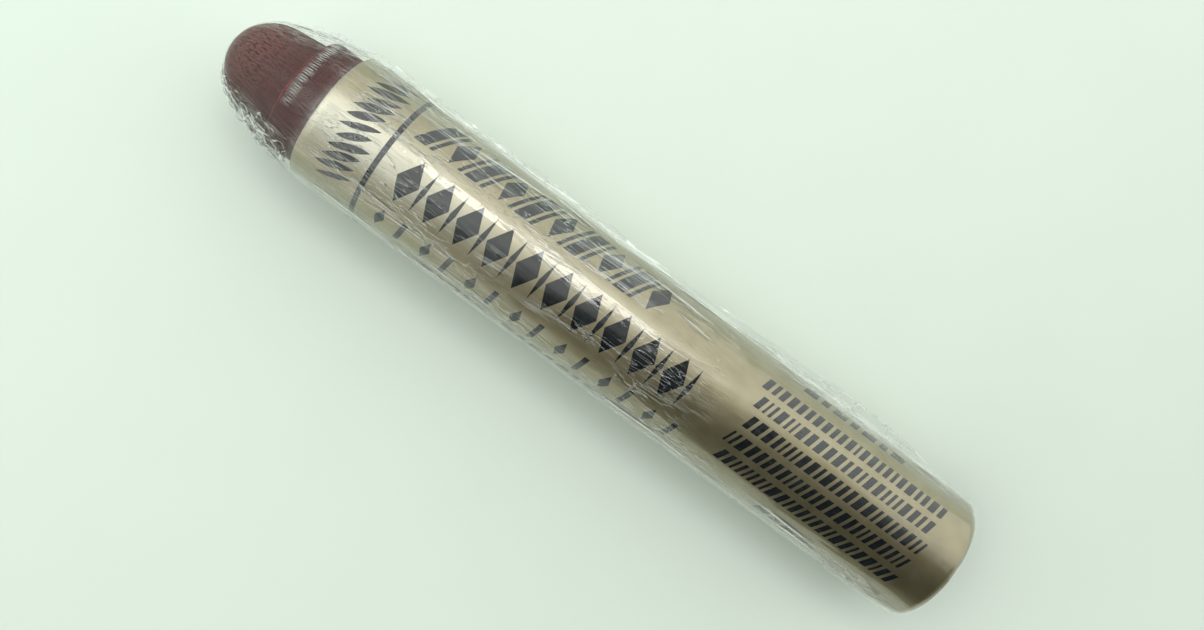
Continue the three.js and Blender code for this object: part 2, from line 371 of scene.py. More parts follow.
def label_wrap():
    """The label: one turn of paper on the roll with its glued lap, closed by its inner side. Its face
    carries a painted highlight, paler where glare falls: on the top near the mouth, and along a
    narrow band behind."""
    angles = at_lap(1.2)
    between = LABEL_FRONT + LABEL_EDGE + np.linspace(0, 1, 110) * (REAR - LABEL_FRONT - 2 * LABEL_EDGE)
    x = np.concatenate([[LABEL_FRONT], between, [REAR]])
    grid_x, grid_a = x[:, None], angles[None, :]
    full = np.ones(x.size)
    full[[0, -1]] = 0
    outer = spun(grid_x, label_face(grid_x, grid_a) - LABEL_EDGE_DROP * (1 - full[:, None]), grid_a)
    inner_r = CARD + PLY * grown(grid_a) + GLUE
    inner = spun(x[::-1][:, None], np.broadcast_to(inner_r, (x.size, angles.size)), grid_a)
    points = np.concatenate([outer, inner])
    run = np.append(folded(x, x), x[0])
    # Painted highlight: the face is made paler on the top near the mouth and along a narrow band behind,
    # where glare falls
    painted_glare_near_mouth = around(grid_a, 358, 34) * hump(grid_x - TIP - 21, 36)
    painted_glare_strip = 0.45 * around(grid_a, 11, 16) * hump(grid_x - TIP - 54, 42)
    lit = np.maximum(painted_glare_near_mouth, painted_glare_strip)
    made = skinned("label_wrap", points, unrolled(run, angles), closed=True, lit=folded(lit, lit))
    made.data.set_sharp_from_angle(angle=CORNER)
    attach(made, "sleeve")
    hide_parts("foil_label")
    return made


# The printed design: slanted bars, lozenges and leaf-shaped strokes in rows, in one dark ink
INK = 0.02  # how far the ink stands above the paper
SUNK = 0.012  # how far it soaks in
INK_ALONG = np.linspace(-1, 1, 15)  # where a plate has its sections
INK_ACROSS = np.linspace(-1, 1, 7)  # and their points
INK_CORNER = math.radians(40)  # ink shades as creased where it turns by more
BAR, LOZENGE = (1, 0), (1, 1)  # the powers p and q of a mark's half width, (1 - |b|^p)^q


def mark_row(marks, x_from, x_to, arc, height, cycle, gap, pitch=None):
    """Adds marks from left to right while they fit. Each takes the next (width, slant, form) of
    the cycle, and then leaves the gap, or starts a pitch on from the last."""
    x, i = x_from, 0
    while x + cycle[i % len(cycle)][0] <= x_to:
        width, slant, form = cycle[i % len(cycle)]
        marks.append((x + width / 2, arc, width, height, slant, *form))
        x += pitch or width + gap
        i += 1


def design():
    """The marks as rows of (x, arc, width, height, slant, p, q), in millimetres. Arcs run from the
    top of the stick and are positive towards the +Y side."""
    marks = []
    draw = np.random.default_rng(14)
    slats = [(1.9, 1.5, BAR), (0.6, 1.5, BAR), (2.9, 0.9, LOZENGE), (0.6, 1.5, BAR)]
    mark_row(marks, -30.2, 8.8, 7.1, 6.0, slats, 0.5)
    harlequin = [(3.4, 0.3, LOZENGE), (0.8, 0.3, LOZENGE)]
    mark_row(marks, -30.4, 19.4, -1.1, 6.6, harlequin, 0.28)
    mark_row(marks, -30.3, 18.6, -8.0, 3.6, [(1.5, 0.3, LOZENGE), (0.8, 0.3, BAR)], 0, pitch=3.7)
    mark_row(marks, -22.0, 12.0, -11.7, 1.1, [(1.9, 0.2, BAR), (1.1, 0.2, BAR)], 0.8)
    for arc in (6.25, 3.25, 0.25, -2.75, -5.75):
        strokes = [(width, 0.35, BAR) for width in draw.uniform(0.35, 1.15, 23)]
        mark_row(marks, 24.4 + draw.uniform(0, 1.2), 55.5, arc, 2.0, strokes, 0.52)
    mark_row(marks, 30.5, 48.5, 10.3, 1.5, [(2.2, 0.3, BAR), (1.2, 0.3, BAR)], 0.8)
    mark_row(marks, 34.5, 46.0, -10.3, 1.5, [(2.0, 0.3, BAR), (1.3, 0.3, BAR)], 0.8)
    return np.array(marks)


def leaf_column(x_from, x_to, arc_from, arc_to, count):
    """A column of leaf-shaped brush strokes across the label, as rows of (x, arc, length,
    breadth), each a little different in place, length and breadth."""
    draw = np.random.default_rng(4)
    arc = np.linspace(arc_from, arc_to, count)
    length = (x_to - x_from) * draw.uniform(0.72, 1.0, count)
    breadth = draw.uniform(0.9, 1.3, count)
    x = (x_from + x_to) / 2 + draw.uniform(-0.4, 0.4, count)
    return np.column_stack([x, arc, length, breadth])


def ink_plates(marks):
    """Each mark at each height b from -1 to 1 spans from x + slant b - w/2 (1 - |b|^p)^q to the
    same with plus."""
    x, arc, width, height, slant, p, q = marks.T[:, :, None, None]
    b, across = INK_ALONG[:, None], INK_ACROSS
    half = width / 2 * np.maximum(1 - np.abs(b) ** p, 0.02) ** q
    angle = np.degrees((arc + b * height / 2) / LABEL_RADIUS)
    return plates("printed_marks", x + slant * b + half * across, angle)


def leaf_plates(leaves, lean):
    """Leaf strokes run along the stick: at each place b from -1 to 1 along a leaf its breadth is
    (1 - b^2) of the full one, and its middle is lean times b off its line."""
    x, arc, length, breadth = leaves.T[:, :, None, None]
    b, across = INK_ALONG[:, None], INK_ACROSS
    half = breadth / 2 * np.maximum(1 - b * b, 0.03)
    angle = np.degrees((arc + lean * b - half * across) / LABEL_RADIUS)
    return plates("printed_leaves", x + b * length / 2, angle)


def plates(name, x, angle):
    """Closed plates of ink on the label from grids (plates, steps along, points across) of places:
    their tops lie INK above the paper and their undersides SUNK below it."""
    x, angle = np.broadcast_arrays(x, angle)
    face = label_face(x, angle)
    top, under = spun(x, face + INK, angle), spun(x, face - SUNK, angle)
    rings = np.concatenate([top, under[:, :, ::-1]], axis=2)
    count, steps, ring = rings.shape[:3]
    k, e = np.meshgrid(np.arange(steps - 1), np.arange(ring), indexing="ij")
    here, after = k * ring + e, k * ring + (e + 1) % ring
    walls = np.stack([here, after, after + ring, here + ring], axis=-1).reshape(-1, 4)
    j = np.arange(ring // 2 - 1)
    first = np.stack([ring - 1 - j, ring - 2 - j, j + 1, j], axis=-1)
    faces = np.concatenate([walls, first, first[:, ::-1] + (steps - 1) * ring])
    faces = (faces[None] + (np.arange(count) * steps * ring)[:, None, None]).reshape(-1, 4)
    made = solid(name, rings.reshape(-1, 3), faces.ravel(), np.full(len(faces), 4))
    made.data.set_sharp_from_angle(angle=INK_CORNER)
    return made


def ring_rule(x, width):
    """The printed ring: a closed band round the label, INK above the paper."""
    angles = at_lap(1.5)[None, :]
    xs = (x + np.array([-1, -1, 1, 1]) * width / 2)[:, None]
    rise = np.array([-SUNK, INK, INK, -SUNK])[:, None]
    points = spun(xs, label_face(xs, angles) + rise, angles)
    made = skinned("printed_ring", points, unrolled(np.arange(5) * 0.2, angles[0]), closed=True)
    made.data.set_sharp_from_angle(angle=INK_CORNER)
    return made


def printed_design():
    """The marks, the column of leaves near the mouth and the ring behind it."""
    made = [
        ink_plates(design()),
        leaf_plates(leaf_column(-40.6, -34.9, 10.2, -6.8, 12), 1.0),
        ring_rule(-33.5, 0.77),
    ]
    for piece in made:
        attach(piece, "sleeve")
    return made


# The shrink film. Its places are distances from its tip, called along, and angles.

FILM_MOUTH = MOUTH - TIP  # where the film passes the sleeve's mouth
FILM_END = 120.6  # just short of its rear edge
FILM_CREASES = 260
CREASE_HEIGHT = 0.2  # at most, where creases cross
PLEATS_AT = 12.9
SEAM_ANGLE = 90
SEAM_WIDTH = 0.14
SEAM_HEIGHT = 0.75
SEAM_REAR_HEIGHT = 1.7
SEAM_WAVE_LENGTH = 13
SEAM_WAVE = 0.16
SEAM_CRINKLE = 0.06
SEAM_UNROLLED = 1.4  # the length on the unrolled surface of each side of the fin
SEAM_CLIMB = np.array([0.05, 0.4, 0.75, 0.96, 1])  # the shares of its height on each side
# Curled folds beside the nose: the distance along, the angle, and half the length and breadth
CURLS = (
    (4.4, 306, 1.9, 0.7), (7.9, 302, 0.9, 0.9), (11.3, 309, 2.1, 1.1), (13.6, 298, 2.2, 0.8),
    (9.6, 293, 2.0, 0.8), (3.8, 288, 1.6, 0.7), (12.4, 284, 1.6, 0.6), (6.4, 290, 1.3, 0.6),
    (14.8, 308, 1.1, 0.6),
)


def taut(distance):
    """The radius of taut film at a distance from the paint's tip: the highest straight line
    between any two points of what it covers, which are the skinned nose and the sleeve."""
    x, r = skin_profile()
    out_x, out_r = outward(x, r)
    cover_x = np.concatenate([x + out_x * (SKIN + SKIN_LINE), [MOUTH - PAINT_TIP, REAR - PAINT_TIP]])
    cover_r = np.concatenate([r + out_r * (SKIN + SKIN_LINE), [LABEL_TOP, LABEL_TOP]])
    i, j = np.triu_indices(cover_x.size, 1)
    use = cover_x[j] - cover_x[i] > 1e-6
    i, j = i[use], j[use]
    x0, x1, r0, r1 = cover_x[i], cover_x[j], cover_r[i], cover_r[j]
    d = distance[:, None]
    chord = r0 + (r1 - r0) * (d - x0) / (x1 - x0)
    covers = (d >= x0) & (d <= x1)
    return np.max(np.where(covers, chord, 0), axis=1)


def film_rows():
    """Distances from the paint's tip at which the film has a ring: close together on the dome,
    even on the nose, wide apart on the sleeve."""
    turn = np.radians(np.linspace(0, DOME_END, 34))
    dome = DOME_LENGTH * (1 - np.cos(turn))
    mouth = MOUTH - PAINT_TIP
    nose = np.arange(dome[-1] + 0.28, mouth + 2.5, 0.28)
    sleeve = np.linspace(nose[-1], REAR - PAINT_TIP, 106)[1:]
    return np.concatenate([dome, nose, sleeve])


def film_columns():
    """Angles at which the film has a column, from one side of the seam round to the other: close
    together on the top and the sides, wide apart below, where it lies flat."""
    near = np.arange(SEAM_ANGLE + 0.6, 120, 1.1)
    below = np.arange(near[-1] + 3, 236, 3)
    return np.concatenate([near, below, np.linspace(below[-1] + 1.1, SEAM_ANGLE + 359.4, 196)])


def crease_field(along, arc):
    """Thin raised folds that run nearly along the stick: each is a hump across its width times a
    hump along its length, with its own place, size and slight skew."""
    draw = np.random.default_rng(21)
    turn = 2 * np.pi * LABEL_RADIUS
    total = np.zeros(np.broadcast_shapes(along.shape, arc.shape))
    for _ in range(FILM_CREASES):
        x0, a0 = draw.uniform(14, 118), draw.uniform(0, turn)
        half_length, half_width = draw.uniform(2, 11), draw.uniform(0.25, 0.6)
        height, skew = draw.uniform(0.03, 0.13), draw.normal(0, 0.09)
        across = (arc - a0 - skew * (along - x0) + turn / 2) % turn - turn / 2
        total += height * hump(along - x0, half_length) * hump(across, half_width)
    return np.minimum(total, CREASE_HEIGHT)


def nose_folds(along, angle):
    """Gathers round the dome, loose pockets on both sides of the nose, and a few curled folds low
    on the -Y side, as rings of film that stand up."""
    aside = 0.12 + 0.88 * (1 - around(angle, 5, 75))
    gathers = 0.2 * hump(along - 9.5, 10) * aside * np.abs(ripples(along * 0.3, angle, 31, 18, 1.2, 4, 7))
    low = around(angle, 262, 42) * hump(along - 9.5, 9)
    high = around(angle, 80, 38) * hump(along - 10, 9)
    crumple = np.abs(ripples(along * 0.7, angle, 33, 24, 1.0, 3.2, 8))
    loose = low * (0.45 + 0.8 * crumple) + high * (0.3 + 0.5 * crumple)
    curls = 0
    crooked = 0.4 * ripples(along, angle, 34, 16, 1.2, 4, 8)
    for x0, a0, length, width in CURLS:
        arc = np.radians((angle - a0 + 180) % 360 - 180) * 7.5
        reach = np.hypot((along - x0 - 0.5 * arc) / length, arc / width)
        side = 0.55 + 0.45 * np.sin(3 * np.arctan2(arc, along - x0) / 2 + x0)
        curls = curls + 0.4 * side * hump(reach + crooked - 1, 0.34)
    return gathers + loose + curls


def calm(along, angle):
    """Where the film has almost no creases: over the top of its rear part."""
    return 0.93 * ease(along, 70, 84) * within(angle, 5, 49, 62)


def film_off(along, angle, on_sleeve):
    """How far the film's outer face stands off the taut profile: slack below and on both sides of
    the sleeve, raised creases, a pocket near the rear, and the folds of the nose."""
    uneven = 0.6 + 0.4 * ripples(along * 0.35, angle, 41, 16, 3, 9)
    snug = 1 - 0.75 * hump(along - 52, 34)
    slack = on_sleeve * (
        0.6 * around(angle, 180, 31)
        + 0.42 * around(angle, 266, 26) * uneven * snug
        + 0.45 * around(angle, 88, 30) * uneven
    )
    fading = 1 - ease(along, 117, FILM_END)
    creases = (
        crease_field(along, np.radians(angle) * LABEL_RADIUS) * ease(along, 15, 22) * fading
        * ease(apart(angle, 180), 42, 64) * (1 - calm(along, angle))
        * (1 - 0.7 * around(angle, 318, 16))
    )
    pocket = 0.45 * around(angle, 290, 18) * ease(along, 107, 110) * fading
    off = FILM_GAP + FILM + slack + creases + pocket + nose_folds(along, angle)
    return np.where(along < 0.5, FILM_GAP + FILM, off)


def seam_height(along):
    """The trimmed seam starts on the dome and is widest near the rear."""
    rear = ease(along, 62, 104)
    end = 1 - ease(along, 103, FILM_END)
    tall = SEAM_HEIGHT + (SEAM_REAR_HEIGHT - SEAM_HEIGHT) * rear * end
    return ease(along, 2.5, 7) * (0.35 + 0.65 * end) * tall


def bent(off, along, arc):
    """How sharply film is bent at each grid point, from -1 in the bottom of a crease to 1 on its
    crest: minus the second differences of its height, round the stick and along it."""
    step = np.gradient(arc).clip(0.1, 0.5)
    round_it = np.roll(off, -1, axis=1) + np.roll(off, 1, axis=1) - 2 * off
    along_it = np.zeros_like(off)
    along_it[1:-1] = off[2:] + off[:-2] - 2 * off[1:-1]
    spacing = np.gradient(along)[:, None].clip(0.1, 2)
    return np.clip(-(round_it / step ** 2 + along_it / spacing ** 2) / 2.2, -1, 1)


def film_amounts(along, angle, on_sleeve, bends):
    """What the film's material needs at each grid point. haze is where fine scuffs make it milky,
    and near the mouth and along the lamp's narrow band of glare it is also a painted highlight,
    creased where the finest creases show, bend how sharply it is bent, more on the sleeve and near
    its edges, which sets its painted glints and shades, pleat where it is pleated behind the
    shoulder, and lustre the share it has of two clean faces' mirror."""
    haze_and_painted_glare = (
        on_sleeve * (0.3 * around(angle, 82, 36) + 0.4 * within(angle, 275, 26, 36))
        + 0.35 * around(angle, 262, 45) * hump(along - 9, 10)
        + 0.9 * around(angle, 295, 22) * hump(along - 112, 8)
    )
    # Painted highlight: milky white is laid on the film near the mouth and along the narrow band of glare
    painted_glare_near_mouth = on_sleeve * around(angle, 2, 43) * hump(along - 22, 34)
    painted_glare_band = on_sleeve * around(angle, 11, 14) * hump(along - 54, 40)
    patches = ease(ripples(along * 0.12, angle, 51, 16, 2.5, 8), -0.35, 0.45)
    edges = 0.5 * around(angle, 66, 48) + 0.85 * around(angle, 303, 36) + 0.12 * around(angle, 262, 50)
    creased = (
        on_sleeve * patches * (1 - calm(along, angle))
        + (1 - on_sleeve) * (0.1 + 1.1 * edges) * patches
    )
    pleating = 0.75 + 0.25 * ripples(0, angle, 71, 14, 1.6, 6, 8)
    pleat = hump(along - PLEATS_AT, 1.0) * within(angle, 25, 36, 46) * pleating
    return {
        "haze_and_painted_glare": haze_and_painted_glare + 0.5 * np.maximum(painted_glare_near_mouth, painted_glare_band) * (0.5 + 0.5 * patches),
        "creased": np.maximum(creased, haze_and_painted_glare),
        "bend": bends * (0.25 + 0.4 * on_sleeve + edges),
        "pleat": pleat,
        "lustre": 0.33 + 0.67 * ease(along, FILM_MOUTH - 1.2, FILM_MOUTH + 0.6) - 0.28 * pleat,
    }


def shrink_film():
    """The film: the taut profile moved out by the film's slack at each place, closed by its
    inner side, pressed flat on the floor below, with the trimmed seam as a fin on the +Y side."""
    d = film_rows()
    r = taut(d)
    r[0] = 0
    out_x, out_r = outward(d, r)
    out_x[0], out_r[0] = -1, 0
    along = (d + PAINT_TIP - TIP)[:, None]
    body = film_columns()
    fin = np.repeat([-1, 1], SEAM_CLIMB.size)
    climb = np.concatenate([np.zeros(body.size), SEAM_CLIMB, SEAM_CLIMB[::-1]])
    half = np.degrees(SEAM_WIDTH / 2 / LABEL_RADIUS)
    angles = np.concatenate([body, SEAM_ANGLE + 360 + fin * half])
    grid_a = angles[None, :] % 360
    on_sleeve = ease(along, FILM_MOUTH - 3, FILM_MOUTH + 3)
    off = film_off(along, grid_a, on_sleeve)
    tall = seam_height(along) * climb[None, :]
    ring_r = r[:, None] + out_r[:, None] * off + tall
    ring_x = PAINT_TIP + d[:, None] + out_x[:, None] * off
    outer = spun(ring_x, ring_r, grid_a)
    wave = SEAM_WAVE * np.sin(2 * np.pi * along / SEAM_WAVE_LENGTH)
    crinkle = SEAM_CRINKLE * ripples(along, 0, 61, 14, 4, 12)
    outer[..., 2] += (wave + crinkle) * climb[None, :] ** 2 * ease(along, 8, 20)
    inner = spun(ring_x, ring_r - tall - FILM, grid_a)
    inner[0] = spun(ring_x[0] + FILM, 0, grid_a[0])
    outer[..., 2] = np.maximum(outer[..., 2], 0)
    inner[..., 2] = np.maximum(inner[..., 2], FILM)
    outer[..., 0] = np.clip(outer[..., 0], TIP, REAR)
    bends = bent(off, along[:, 0], np.radians(angles) * LABEL_RADIUS)
    amounts = film_amounts(along, grid_a, on_sleeve, bends)
    run = folded(along[:, 0], along[:, 0])
    up_fin = np.cumsum(np.abs(np.diff(climb, prepend=0))) * SEAM_UNROLLED
    places = unrolled(run, angles + np.degrees(up_fin / LABEL_RADIUS))
    made = skinned(
        "shrink_film_wrap", folded(outer, inner), places, tip=True, tail=True,
        **{key: folded(value, value) for key, value in amounts.items()},
    )
    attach(made, "wrapper")
    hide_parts("shrink_film")
    return made


# Materials

def srgb(text):
    """A colour written as sRGB hex, as the linear values that the shader works in."""
    parts = np.array([int(text[i:i + 2], 16) for i in (1, 3, 5)]) / 255
    linear = np.where(parts <= 0.04045, parts / 12.92, ((parts + 0.055) / 1.055) ** 2.4)
    return (*linear, 1.0)


def add(tree, kind, inputs=(), **settings):
    """Adds one shader node with its settings and its inputs. An input is a value or another
    node's output, and its key is the socket's name or number."""
    made = tree.nodes.new("ShaderNode" + kind)
    for name, value in settings.items():
        setattr(made, name, value)
    for key, value in dict(inputs).items():
        if isinstance(value, bpy.types.NodeSocket):
            tree.links.new(value, made.inputs[key])
        else:
            made.inputs[key].default_value = value
    return made


def material(name):
    """An empty node material and its tree."""
    made = bpy.data.materials.new(name)
    made.use_nodes = True
    made.node_tree.nodes.clear()
    return made, made.node_tree


def tones(ramp, hues, places):
    """Sets the two ends of a colour ramp: their sRGB colours and their places."""
    for end, hue, place in zip(ramp.color_ramp.elements, hues, places):
        end.color, end.position = srgb(hue), place


def millimetres(tree, along=1.0, across=1.0, turn=0.0):
    """The unrolled surface's coordinates, in millimetres, stretched and turned for a pattern."""
    place = add(tree, "UVMap", uv_map="unrolled")
    inputs = {"Vector": place.outputs["UV"], "Scale": (along, across, 1), "Rotation": (0, 0, turn)}
    return add(tree, "Mapping", inputs).outputs["Vector"]


# Where a noise's scale is a number over MM, the number is its cells in a millimetre


def cast_oil_paint():
    """Pigment in oil and wax, poured and set: an even deep crimson with a soft, greasy sheen."""
    made, tree = material("cast_oil_paint")
    place = add(tree, "TexCoord").outputs["Object"]
    cloud = add(tree, "TexNoise", {"Vector": place, "Scale": 0.25 / MM, "Detail": 5.0})
    colour = add(tree, "ValToRGB", {"Fac": cloud.outputs["Fac"]})
    tones(colour, ("#4a0a10", "#641018"), (0.3, 0.7))
    grain = add(tree, "TexNoise", {"Vector": place, "Scale": 2.2 / MM, "Detail": 4.0})
    bump = add(tree, "Bump", {"Height": grain.outputs["Fac"], "Strength": 0.35, "Distance": 0.05 * MM})
    gloss = add(tree, "MapRange", {"Value": grain.outputs["Fac"], "To Min": 0.38, "To Max": 0.55})
    surface = add(tree, "BsdfPrincipled", {
        "Base Color": colour.outputs["Color"], "Roughness": gloss.outputs["Result"],
        "Normal": bump.outputs["Normal"], "IOR": 1.47,
        "Subsurface Weight": 0.08, "Subsurface Radius": (1.0, 0.25, 0.2), "Subsurface Scale": 0.6 * MM,
    })
    add(tree, "OutputMaterial", {"Surface": surface.outputs[0]})
    return made


def dried_paint_skin():
    """Oil paint that has dried in air: duller and browner than the paint, drawn into fine folds
    whose hollows carry painted shade, darker where the bump is low, with a redder line where the
    film has kept the shoulder bare."""
    made, tree = material("dried_paint_skin")
    folds = add(tree, "TexNoise", {
        "Vector": millimetres(tree, 0.5, 2.6), "Scale": 1.0, "Detail": 6.0, "Roughness": 0.6,
    })
    cloud = add(tree, "TexNoise", {"Vector": millimetres(tree), "Scale": 0.5, "Detail": 3.0})
    # The skin's own colour with painted shade: darker in the hollows of the folds, where the bump is low
    dull_and_hollow_shade = add(tree, "ValToRGB", {"Fac": folds.outputs["Fac"]})
    tones(dull_and_hollow_shade, ("#2a0b0a", "#5a2824"), (0.36, 0.62))
    spots = add(tree, "TexNoise", {"Vector": millimetres(tree, 1.0, 2.0), "Scale": 1.3, "Detail": 2.0})
    spot = add(tree, "MapRange", {"Value": spots.outputs["Fac"], "From Min": 0.51, "From Max": 0.57})
    flecked = add(tree, "Mix", {
        "Factor": spot.outputs["Result"], 6: srgb("#653c36"), 7: srgb("#34080a"),
    }, data_type="RGBA")
    shrivel = add(tree, "Attribute", attribute_name="shrivel")
    bare = add(tree, "Attribute", attribute_name="bare")
    colour = dull_and_hollow_shade.outputs["Color"]
    # Browner in clouds, flecked on the shrivelled dome, and red on the bare line
    for share, other in (
        (cloud.outputs["Fac"], srgb("#47201c")),
        (shrivel.outputs["Fac"], flecked.outputs[2]),
        (bare.outputs["Fac"], srgb("#930d11")),
    ):
        colour = add(tree, "Mix", {"Factor": share, 6: colour, 7: other}, data_type="RGBA").outputs[2]
    bump = add(tree, "Bump", {"Height": folds.outputs["Fac"], "Strength": 0.4, "Distance": 0.08 * MM})
    surface = add(tree, "BsdfPrincipled", {
        "Base Color": colour, "Roughness": 0.6, "Normal": bump.outputs["Normal"],
        "Specular IOR Level": 0.15,
    })
    add(tree, "OutputMaterial", {"Surface": surface.outputs[0]})
    return made


def rolled_card():
    """Grey-white board rolled from one sheet and pasted: matt, fibrous, with darker glue lines
    between the plies on its cut ends."""
    made, tree = material("rolled_card")
    place = add(tree, "TexCoord").outputs["Object"]
    fibre = add(tree, "TexNoise", {"Vector": place, "Scale": 0.9 / MM, "Detail": 4.0})
    colour = add(tree, "ValToRGB", {"Fac": fibre.outputs["Fac"]})
    tones(colour, ("#c6bfae", "#e6e1d6"), (0.3, 0.7))
    glue = add(tree, "Attribute", attribute_name="glue")
    edge = add(tree, "Mix", {
        "Factor": glue.outputs["Fac"], 6: colour.outputs["Color"], 7: srgb("#8a7d68"),
    }, data_type="RGBA")
    bump = add(tree, "Bump", {"Height": fibre.outputs["Fac"], "Strength": 0.4, "Distance": 0.04 * MM})
    surface = add(tree, "BsdfPrincipled", {
        "Base Color": edge.outputs[2], "Roughness": 0.9, "Normal": bump.outputs["Normal"], "IOR": 1.45,
    })
    add(tree, "OutputMaterial", {"Surface": surface.outputs[0]})
    return made


def metallised_paper():
    """Paper with a vacuum-deposited aluminium face under a champagne lacquer: a satin metal whose
    reflections are soft, slightly mottled by the fibres beneath and drawn out along the web. Where
    lit is high its colour is painted paler, a painted highlight for the nearly white glare near
    the mouth."""
    made, tree = material("metallised_paper")
    mottle = add(tree, "TexNoise", {"Vector": millimetres(tree), "Scale": 0.35, "Detail": 4.0})
    lacquer = add(tree, "ValToRGB", {"Fac": mottle.outputs["Fac"]})
    tones(lacquer, ("#978c6d", "#a59a7c"), (0.3, 0.7))
    lit = add(tree, "Attribute", attribute_name="lit")
    # Painted highlight: the lacquer is mixed towards a nearly white tone where lit is high
    face = add(tree, "Mix", {
        "Factor": lit.outputs["Fac"], 6: lacquer.outputs["Color"], 7: srgb("#cbc6b5"),
    }, data_type="RGBA")
    fibres = add(tree, "TexNoise", {"Vector": millimetres(tree, 1.2, 5.0), "Scale": 1.0, "Detail": 4.0})
    bump = add(tree, "Bump", {"Height": fibres.outputs["Fac"], "Strength": 0.25, "Distance": 0.02 * MM})
    gloss = add(tree, "MapRange", {"Value": fibres.outputs["Fac"], "To Min": 0.37, "To Max": 0.44})
    surface = add(tree, "BsdfPrincipled", {
        "Base Color": face.outputs[2], "Metallic": 0.92, "Roughness": gloss.outputs["Result"],
        "Normal": bump.outputs["Normal"],
    })
    add(tree, "OutputMaterial", {"Surface": surface.outputs[0]})
    return made


def printing_ink():
    """Blue-black printing ink: opaque, with a satin face on the smooth metal."""
    made, tree = material("printing_ink")
    place = add(tree, "TexCoord").outputs["Object"]
    cover = add(tree, "TexNoise", {"Vector": place, "Scale": 1.5 / MM, "Detail": 3.0})
    colour = add(tree, "ValToRGB", {"Fac": cover.outputs["Fac"]})
    tones(colour, ("#0a0e12", "#161c20"), (0.35, 0.7))
    surface = add(tree, "BsdfPrincipled", {
        "Base Color": colour.outputs["Color"], "Roughness": 0.5, "Specular IOR Level": 0.12,
    })
    add(tree, "OutputMaterial", {"Surface": surface.outputs[0]})
    return made


